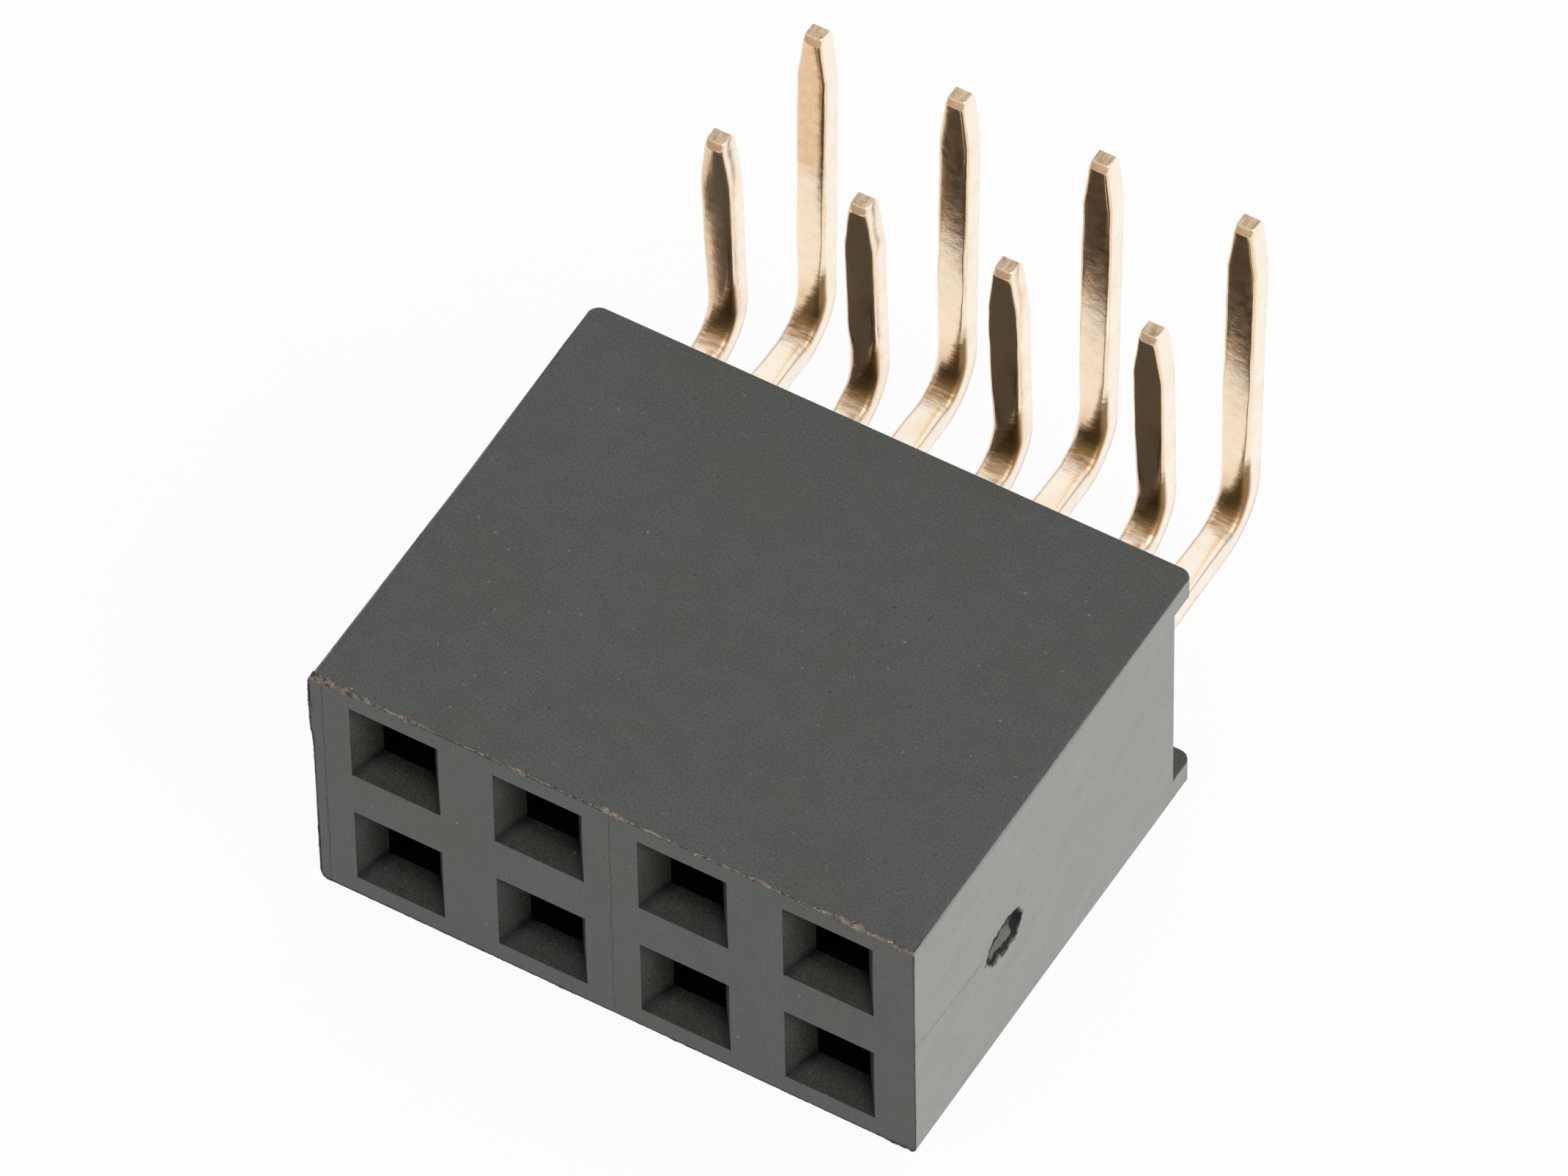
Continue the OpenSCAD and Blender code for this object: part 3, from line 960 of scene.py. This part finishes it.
class STRIP_OT_contacts(bpy.types.Operator):
    """Make the eight stamped contacts, four with short and four with long tails"""

    bl_idname = "strip.contacts"
    bl_label = "Contacts"

    def execute(self, context):
        look = context.scene.strip_contacts
        sheared = sheared_metal(look)
        for kind, row in ROWS.items():
            materials = [gold_plating(f"{kind}_contact_plating", look, row), sheared]
            for position in range(1, POSITIONS + 1):
                bm = contact_mesh(row, look, 0.013 * position)
                place = (position - (POSITIONS + 1) / 2) * PITCH
                bmesh.ops.translate(bm, verts=bm.verts, vec=(place, 0.0, 0.0))
                name = f"{kind}_tail_contact_{position}"
                finished(bm, name, materials, f"{kind}_contact_{position}", flat_sides=True)
        return {"FINISHED"}


# Flash, crumbs and fibres

def housing_edges(look):
    """The housing's outer edges: start, end, and the ways along the two walls that meet there."""
    end_x = RIGHT_END - look.side_inset
    front = FRONT + look.front_inset
    top = TOP - look.top_inset
    to_back = BACK * (HOUSING_DEPTH - 0.3 * MM - look.front_inset)
    left_top, right_top = Vector((-end_x, front, top)), Vector((end_x, front, top))
    left_low, right_low = Vector((-end_x, front, 0.0)), Vector((end_x, front, 0.0))
    return {
        "front_top": (left_top, right_top, -UP, BACK),
        "front_low": (left_low, right_low, UP, BACK),
        "left_top": (left_top, left_top + to_back, -UP, RIGHT),
        "right_top": (right_top, right_top + to_back, -UP, -RIGHT),
        "left_front": (left_low, left_top, BACK, RIGHT),
        "right_front": (right_low, right_top, BACK, -RIGHT),
        "right_low": (right_low, right_low + to_back, UP, -RIGHT),
    }


def heaviness(along_mm, seed, heavy, patchy):
    """How heavy the flash is at a place along its edge: patches, and the spots that are named in heavy."""
    amount = 0.36 + patchy * wander((along_mm + seed) * MM, 0.0, 0.0, 0.8)
    amount += 0.4 * patchy * wander((along_mm + seed) * MM, 0.0, 0.0, 3.1)
    for middle_mm, half_width_mm, gain in heavy:
        amount += gain * bell(along_mm, middle_mm, half_width_mm)
    return max(0.1, amount)


def fitted(point, look):
    """Moves a point on the edges of the plain box onto the rounded and stepped ends."""
    side, radius = (-1.0, look.left_radius) if point.x < 0.0 else (1.0, look.right_radius)
    edge_x = RIGHT_END - look.side_inset - radius
    up, middle_z = (1.0, TOP - look.top_inset - radius) if point.z > TOP / 2 else (-1.0, radius)
    out, rise = abs(point.x) - edge_x, up * (point.z - middle_z)
    x, z = point.x, point.z
    if out > 0.0 and rise > 0.0:
        share = max(out, rise) / math.hypot(out, rise)
        x, z = side * (edge_x + out * share), middle_z + up * rise * share
    if side < 0.0:
        x += left_step(z, look) * clamped((abs(x) - RIGHT_END + 0.25 * MM) / (0.2 * MM))
    return Vector((x, point.y, z))


def ragged_strip(look, edge, reach, proud, seed, heavy, patchy):
    """A ragged skin of flash that lies over an edge, as one closed shell.

    reach is how far it goes along each wall, and proud how far it stands out.
    """
    start, end, wall_a, wall_b = edge
    run = (end - start).normalized()
    steps = round((end - start).length * PER_MM * 40)
    sides = 9
    bm = bmesh.new()
    place = bm.verts.layers.int.new("place")
    ring = []
    for k in range(sides):
        turn = math.pi * (k / (sides - 1) - 0.5)
        spot = (wall_a - wall_b) * math.sin(-turn) - (wall_a + wall_b) * math.cos(turn)
        ring.append(bm.verts.new(start + spot * reach))
    ring.append(bm.verts.new(start + (wall_a + wall_b) * reach))
    for k, vert in enumerate(ring):
        vert[place] = k
    skin = bm.faces.new(ring)
    for index in range(steps):
        skin = extruded(bm, skin, (end - start) / steps, index == 0)
    for vert in bm.verts:
        s = (vert.co - start).dot(run)
        amount = heaviness(s * PER_MM, seed, heavy, patchy)
        if vert[place] == sides:
            offset = (wall_a + wall_b) * 0.02 * MM
        else:
            t = vert[place] / (sides - 1)
            shift = (t + seed) * 0.0003
            ragged = 0.75 + 0.45 * wander(s, t * 0.0002, seed * MM, 6.0)
            ragged += 0.3 * wander(s, t * 0.0004, seed * MM, 17.0)
            lumps = 0.5 + 0.7 * wander(s, shift, 0.0, 11.0) + 0.4 * wander(s, shift, 0.0, 29.0)
            far = reach * min(2.2, amount) * max(0.2, ragged)
            lift = proud * min(1.8, amount) * max(0.0, lumps) * math.sin(math.pi * t) ** 0.6 - 0.002 * MM
            turned = clamped((t - 0.3) / 0.4)
            offset = wall_a * far * max(0.0, 1.0 - 2.0 * t) + wall_b * far * max(0.0, 2.0 * t - 1.0)
            offset -= (wall_b * (1.0 - turned) + wall_a * turned) * lift
        vert.co = kept_in_box(fitted(start + run * s + offset, look))
    bm.verts.layers.int.remove(bm.verts.layers.int["place"])
    bmesh.ops.recalc_face_normals(bm, faces=bm.faces)
    return bm


class STRIP_OT_flash(bpy.types.Operator):
    """Add the ragged flash along the edges of the moulding"""

    bl_idname = "strip.flash"
    bl_label = "Flash"

    def execute(self, context):
        look = context.scene.strip_housing
        edges = housing_edges(look)
        brown = torn_plastic("torn_flash", look)
        dark = torn_plastic("worn_edge", look, 0.5, 0.8, 0.12)
        # Reach and height in mm, seed, patchiness, finish, and heavy spots: place, half width and gain
        strips = {
            "front_top": (0.058, 0.034, 3.1, 0.45, brown, (
                (0.2, 0.4, 2.0), (0.75, 0.2, 1.0), (1.9, 0.16, 1.0), (2.8, 0.2, 0.4), (4.6, 0.2, 0.4),
                (5.3, 0.25, 1.0), (7.9, 0.2, 0.5), (9.6, 0.4, 1.2), (10.4, 0.3, 1.5),
            )),
            "front_low": (0.026, 0.018, 7.7, 0.35, dark, (
                (0.1, 0.2, 0.8), (4.4, 0.2, 0.7), (10.4, 0.3, 0.8),
            )),
            "left_top": (0.022, 0.014, 11.3, 0.35, dark, ((5.75, 0.12, 0.9),)),
            "right_top": (0.014, 0.008, 13.9, 0.35, dark, ((0.1, 0.2, 1.0),)),
            "left_front": (0.03, 0.02, 17.1, 0.35, dark, ((4.35, 0.35, 1.6),)),
            "right_front": (0.018, 0.010, 19.7, 0.35, dark, ((4.9, 0.2, 0.8),)),
            "right_low": (0.016, 0.010, 23.3, 0.35, dark, ()),
        }
        for name, (reach, proud, seed, patchy, finish, heavy) in strips.items():
            bm = ragged_strip(look, edges[name], reach * MM, proud * MM, seed, heavy, patchy)
            finished(bm, f"flash_{name}", [finish], sharp_degrees=50.0)
        return {"FINISHED"}


def add_crumb(bm, point, size, chance):
    """A small torn crumb of plastic, twenty uneven faces."""
    sizes = [chance.uniform(low, high) for low, high in ((0.6, 1.6), (0.6, 1.2), (0.4, 0.9))]
    stretch = Matrix.Diagonal((*sizes, 1.0))
    turn = Matrix.Rotation(chance.uniform(0.0, math.tau), 4, Vector((chance.random(), chance.random(), 0.3)))
    place = Matrix.Translation(point) @ turn @ stretch
    made = bmesh.ops.create_icosphere(bm, subdivisions=1, radius=size, matrix=place)["verts"]
    for vert in made:
        vert.co = kept_in_box(vert.co + Vector([chance.uniform(-0.25, 0.25) * size for _ in range(3)]))


def add_fibre(bm, root, direction, fibre_length, radius, chance):
    """A thin curved sliver that tapers to its end."""
    direction = direction.normalized()
    turn = direction.to_track_quat("Z", "Y").to_matrix().to_4x4()
    made = bmesh.ops.create_circle(
        bm, cap_ends=True, radius=radius, segments=5, matrix=Matrix.Translation(root) @ turn
    )["verts"]
    face = made[0].link_faces[0]
    side = direction.orthogonal().normalized()
    for index in range(5):
        direction = (direction + side * chance.uniform(0.0, 0.45)).normalized()
        face = extruded(bm, face, direction * fibre_length / 5, index == 0)
        middle = face.calc_center_median()
        bmesh.ops.scale(bm, verts=face.verts, vec=(0.78, 0.78, 0.78), space=Matrix.Translation(-middle))
    for vert in bm.verts:
        vert.co = kept_in_box(vert.co)


def scattered(bm, name, finish):
    """Finishes a mesh of many small closed shells."""
    bmesh.ops.recalc_face_normals(bm, faces=bm.faces)
    finished(bm, name, [finish], sharp_degrees=60.0)


class STRIP_OT_crumbs(bpy.types.Operator):
    """Scatter crumbs and glass fibres along the edges that were torn at the parting line"""

    bl_idname = "strip.crumbs"
    bl_label = "Crumbs and fibres"

    def execute(self, context):
        look = context.scene.strip_housing
        chance = random.Random(41)
        edges = housing_edges(look)
        start, end, down, back = edges["front_top"]
        crumbs = bmesh.new()
        # Clumps on the top front edge: place, spread in mm and number of crumbs
        clumps = ((0.35, 0.25, 34), (1.9, 0.15, 10), (5.3, 0.2, 10), (10.0, 0.4, 26), (5.3, 3.2, 40))
        for middle, spread_mm, count in clumps:
            for _ in range(count):
                along = clamped(chance.gauss(middle, spread_mm), 0.05, 10.5) * MM
                off = chance.gauss(0.0, 0.05 if middle < 0.5 else 0.03) * MM
                point = start + (end - start).normalized() * along
                point += back * off if off > 0.0 else down * -off
                add_crumb(crumbs, fitted(point, look), chance.uniform(0.006, 0.02) * MM, chance)
        low_start, low_end = edges["front_low"][:2]
        for _ in range(26):
            point = low_start.lerp(low_end, chance.random())
            point += Vector((0.0, 0.0, chance.uniform(0.0, 0.05))) * MM
            add_crumb(crumbs, fitted(point, look), chance.uniform(0.004, 0.012) * MM, chance)
        for _ in range(30):
            column = (chance.randrange(POSITIONS) - (POSITIONS - 1) / 2) * PITCH
            row = chance.choice((LOW_ROW, HIGH_ROW))
            across = chance.choice((-1.0, 1.0)) * MOUTH_HALF_WIDTH
            level = row + chance.uniform(-0.75, 0.75) * MM
            point = Vector((column + across, FRONT + look.front_inset, level))
            if chance.random() < 0.6:
                point.x = column + chance.uniform(-0.75, 0.75) * MM
                point.z = row - MOUTH_HALF_HEIGHT
            add_crumb(crumbs, point, chance.uniform(0.004, 0.011) * MM, chance)
        scattered(crumbs, "edge_crumbs", torn_plastic("crumb", look, 0.3, 0.5, 0.55))
        fibres = bmesh.new()
        sink = Vector((0.0, 0.0, -0.005)) * MM
        left_start, left_end = edges["left_top"][:2]
        roots = []
        for low, high, longest in ((0.15, 0.8, 0.07), (1.85, 2.0, 0.1), (9.2, 10.4, 0.06)):
            roots += [(start + RIGHT * chance.uniform(low, high) * MM, longest) for _ in range(4)]
        roots += [(fitted(left_start.lerp(left_end, 0.69 + 0.02 * k), look), 0.2) for k in range(2)]
        for root, longest in roots:
            lean = Vector((chance.uniform(-1.0, 1.0), chance.uniform(-0.4, 1.0), chance.uniform(0.15, 0.7)))
            size = chance.uniform(0.5, 1.0) * longest * MM
            add_fibre(fibres, root + sink, lean, size, chance.uniform(0.004, 0.007) * MM, chance)
        scattered(fibres, "edge_fibres", torn_plastic("pale_fibre", look, 0.0, 0.3, 0.9))
        return {"FINISHED"}


# Gate scar

# What is added to the darkness of everything that is torn
TORN_OFFSET = 0.3
# The torn oval, in mm from the middle of the recess, and the round patch that carries it
OVAL_MIDDLE = (0.035, -0.165)
OVAL_HALF_AXES = (0.575, 0.4)
OVAL_LEAN = math.radians(6.0)
PATCH_RADIUS_MM = 0.68


def torn_shape(y, z):
    """Depth in mm and darkness of the torn gate, at a place in mm from the middle of its recess.

    The scar is an oval below the middle of the recess. It is torn deepest along its lower rear side. Its
    darkness is painted shade in that trench and in the groove along its upper front side, over a little
    uneven torn tone.
    """
    place = (y * MM, z * MM)
    from_y, from_z = y - OVAL_MIDDLE[0], z - OVAL_MIDDLE[1]
    p = (from_y * math.cos(OVAL_LEAN) + from_z * math.sin(OVAL_LEAN)) / OVAL_HALF_AXES[0]
    q = (from_z * math.cos(OVAL_LEAN) - from_y * math.sin(OVAL_LEAN)) / OVAL_HALF_AXES[1]
    rim = math.hypot(p, q) + 0.12 * wander(*place, 0.002, 4.0) + 0.05 * wander(*place, 0.004, 12.0)
    towards = math.atan2(q, p)
    low_side = (0.5 + 0.5 * math.cos(towards + math.radians(42.0))) ** 1.3
    high_side = (0.5 + 0.5 * math.cos(towards - math.radians(130.0))) ** 1.5
    lumps = 0.6 * wander(*place, 0.0031, 5.0) + 0.35 * wander(*place, 0.0071, 13.0)
    inside = clamped((1.0 - rim) / 0.12)
    trench = bell(rim, 0.62, 0.24) * low_side
    groove = bell(rim, 0.8, 0.14) * high_side
    depth = 0.095 * trench * (1.0 + 0.5 * lumps) + 0.03 * groove + 0.014 + 0.02 * lumps
    depth *= inside * clamped((GATE_RADIUS_MM - 0.005 - math.hypot(y, z)) / 0.03)
    # Painted shade in the trench and the groove, over uneven torn tone
    darkness = 1.15 * trench * (1.0 + 0.6 * lumps) + 0.8 * groove * (0.9 + lumps) + 0.12 * (0.6 - lumps)
    return clamped(depth, -0.004, 0.1), inside * (TORN_OFFSET + darkness)


def open_edges(bm):
    """The edges along the rim of an open mesh."""
    return [edge for edge in bm.edges if edge.is_boundary]


class STRIP_OT_gate_scar(bpy.types.Operator):
    """Fill the gate's recess with the torn stub that was left in it"""

    bl_idname = "strip.gate_scar"
    bl_label = "Gate scar"

    def execute(self, context):
        look = context.scene.strip_housing
        bm = bmesh.new()
        bmesh.ops.create_grid(bm, x_segments=90, y_segments=90, size=1.0)
        torn = bm.verts.layers.float.new("torn")
        middle = Vector((RIGHT_END - look.side_inset, GATE.y, GATE.z))
        for vert in bm.verts:
            # The square grid is drawn to a round patch, whose rim dips into the wall
            u, v = vert.co.x, vert.co.y
            square = max(abs(u), abs(v))
            turn = square / math.hypot(u, v) if square else 1.0
            y, z = u * turn * PATCH_RADIUS_MM, v * turn * PATCH_RADIUS_MM
            depth, vert[torn] = torn_shape(y, z)
            x = 0.0015 - 0.0045 * max(0.0, (square - 0.93) / 0.07) - depth
            vert.co = kept_in_box(middle + Vector((x, y, z)) * MM)
        for face in bm.faces:
            face.material_index = int(sum(vert[torn] for vert in face.verts) > 2.0 * TORN_OFFSET)
        made = bmesh.ops.extrude_edge_only(bm, edges=open_edges(bm))["geom"]
        for part in made:
            if isinstance(part, bmesh.types.BMVert):
                part.co.x = GATE_FLOOR
        bmesh.ops.holes_fill(bm, edges=open_edges(bm), sides=0)
        wall = bpy.data.materials.get("moulding_end_painted_light") or end_plastic(look)
        bmesh.ops.recalc_face_normals(bm, faces=bm.faces)
        finished(bm, "gate_scar", [wall, torn_gate_plastic(look)], sharp_degrees=60.0)
        return {"FINISHED"}


# Stage

CAMERA_AIM = Vector((-0.957, 2.530, 2.485)) * MM
CAMERA_AZIMUTH = math.radians(31.51)
CAMERA_ELEVATION = math.radians(51.30)
CAMERA_ROLL = math.radians(-1.146)
CAMERA_DISTANCE = 251.05 * MM
CAMERA_LENS = 375.0
CAMERA_SENSOR = 36.0
FLOOR_DROP = 0.005 * MM
LAMP_PLACE = Vector((180.0, -40.0, 120.0)) * MM
LAMP_SIZE = 160.0 * MM
# How much of what the camera and the mirrors see of the floor is plain white
PLAIN_WHITE = 0.92


def floor_material(look):
    """White floor: a part of what the camera and mirrors see is plain white, the rest keeps the shadow."""
    material = bpy.data.materials.new("pale_floor")
    material.use_nodes = True
    material.cycles.emission_sampling = "NONE"
    tree = material.node_tree
    tree.nodes.clear()
    path = tree.nodes.new("ShaderNodeLightPath").outputs
    rays = (path[f"Is {kind} Ray"] for kind in ("Camera", "Glossy", "Transmission"))
    seen = times(tree, maths(tree, "MAXIMUM", *rays), PLAIN_WHITE)
    mix = add_node(tree, "ShaderNodeMixShader", Fac=seen)
    feed(tree, mix.inputs[1], add_node(tree, "ShaderNodeBsdfDiffuse", Color=look.floor).outputs[0])
    feed(tree, mix.inputs[2], add_node(tree, "ShaderNodeEmission", Strength=1.0).outputs[0])
    add_node(tree, "ShaderNodeOutputMaterial", Surface=mix.outputs[0])
    return material


def white_world(look):
    """The even light of a tent, dimmer near the horizon. The camera sees it as white."""
    world = bpy.data.worlds.new("light_tent")
    world.use_nodes = True
    tree = world.node_tree
    tree.nodes.clear()
    path = tree.nodes.new("ShaderNodeLightPath").outputs
    direction = add_node(tree, "ShaderNodeTexCoord").outputs["Generated"]
    height = add_node(tree, "ShaderNodeSeparateXYZ", Vector=direction).outputs["Z"]
    dim = spread(tree, height, 0.12, 0.62, look.horizon, 1.0, "SMOOTHSTEP")
    plain = spread(tree, path["Is Glossy Ray"], 0.0, 1.0, look.sky, 1.0)
    level = maths(tree, "MAXIMUM", times(tree, dim, plain), path["Is Camera Ray"])
    background = add_node(tree, "ShaderNodeBackground", Color=(1.0, 1.0, 1.0), Strength=level)
    add_node(tree, "ShaderNodeOutputWorld", Surface=background.outputs[0])
    bpy.context.scene.world = world


def placed(name, data):
    """A new object in the scene."""
    thing = bpy.data.objects.new(name, data)
    bpy.context.scene.collection.objects.link(thing)
    return thing


class STRIP_OT_stage(bpy.types.Operator):
    """Set up the floor, the soft light and the camera"""

    bl_idname = "strip.stage"
    bl_label = "Stage"

    def execute(self, context):
        scene = context.scene
        look = scene.strip_stage
        scene.view_settings.view_transform = "Standard"
        bm = bmesh.new()
        bmesh.ops.create_grid(bm, x_segments=1, y_segments=1, size=1.0)
        bmesh.ops.translate(bm, verts=bm.verts, vec=(0.0, 0.0, -FLOOR_DROP))
        mesh = bpy.data.meshes.new("floor")
        bm.to_mesh(mesh)
        bm.free()
        mesh.materials.append(floor_material(look))
        floor = placed("floor", mesh)
        middle = (CAD_BOX[0] + CAD_BOX[1]) / 2
        light = bpy.data.lights.new("key_lamp", "AREA")
        light.size = LAMP_SIZE
        light.energy = look.key
        lamp = placed("key_lamp", light)
        lamp.location = LAMP_PLACE
        lamp.rotation_euler = (middle - LAMP_PLACE).to_track_quat("-Z", "Y").to_euler()
        white_world(look)
        data = bpy.data.cameras.new("photo_camera")
        data.sensor_fit = "HORIZONTAL"
        data.sensor_width = CAMERA_SENSOR
        data.lens = CAMERA_LENS
        data.clip_start = 0.01
        camera = placed("photo_camera", data)
        back = Vector((
            math.sin(CAMERA_AZIMUTH) * math.cos(CAMERA_ELEVATION),
            -math.cos(CAMERA_AZIMUTH) * math.cos(CAMERA_ELEVATION),
            math.sin(CAMERA_ELEVATION),
        ))
        turn = (-back).to_track_quat("-Z", "Y").to_matrix().to_4x4() @ Matrix.Rotation(CAMERA_ROLL, 4, "Z")
        camera.matrix_world = Matrix.Translation(CAMERA_AIM + back * CAMERA_DISTANCE) @ turn
        scene.camera = camera
        return {"FINISHED"}


# Add-on

class STRIP_PT_panel(bpy.types.Panel):
    """Lists the operators in the sidebar"""

    bl_idname = "STRIP_PT_panel"
    bl_label = "Socket strip"
    bl_space_type = "VIEW_3D"
    bl_region_type = "UI"
    bl_category = "Socket strip"

    def draw(self, context):
        for operator in OPERATORS:
            self.layout.operator(operator.bl_idname)


OPERATORS = (
    STRIP_OT_stage, STRIP_OT_housing, STRIP_OT_contacts, STRIP_OT_flash, STRIP_OT_crumbs, STRIP_OT_gate_scar
)
SETTINGS = {
    "strip_housing": HousingSettings,
    "strip_contacts": ContactSettings,
    "strip_stage": StageSettings,
}
CLASSES = (*SETTINGS.values(), *OPERATORS, STRIP_PT_panel)


def register():
    """Registers the classes and hangs the settings on the scene."""
    for cls in CLASSES:
        bpy.utils.register_class(cls)
    for name, group in SETTINGS.items():
        setattr(bpy.types.Scene, name, bpy.props.PointerProperty(type=group))


def unregister():
    """Takes the settings and the classes away again."""
    for name in SETTINGS:
        delattr(bpy.types.Scene, name)
    for cls in reversed(CLASSES):
        bpy.utils.unregister_class(cls)


def main():
    """Builds the whole scene."""
    register()
    bpy.ops.strip.stage()
    bpy.ops.strip.housing()
    bpy.ops.strip.contacts()
    bpy.ops.strip.flash()
    bpy.ops.strip.crumbs()
    bpy.ops.strip.gate_scar()


if __name__ == "__main__":
    main()
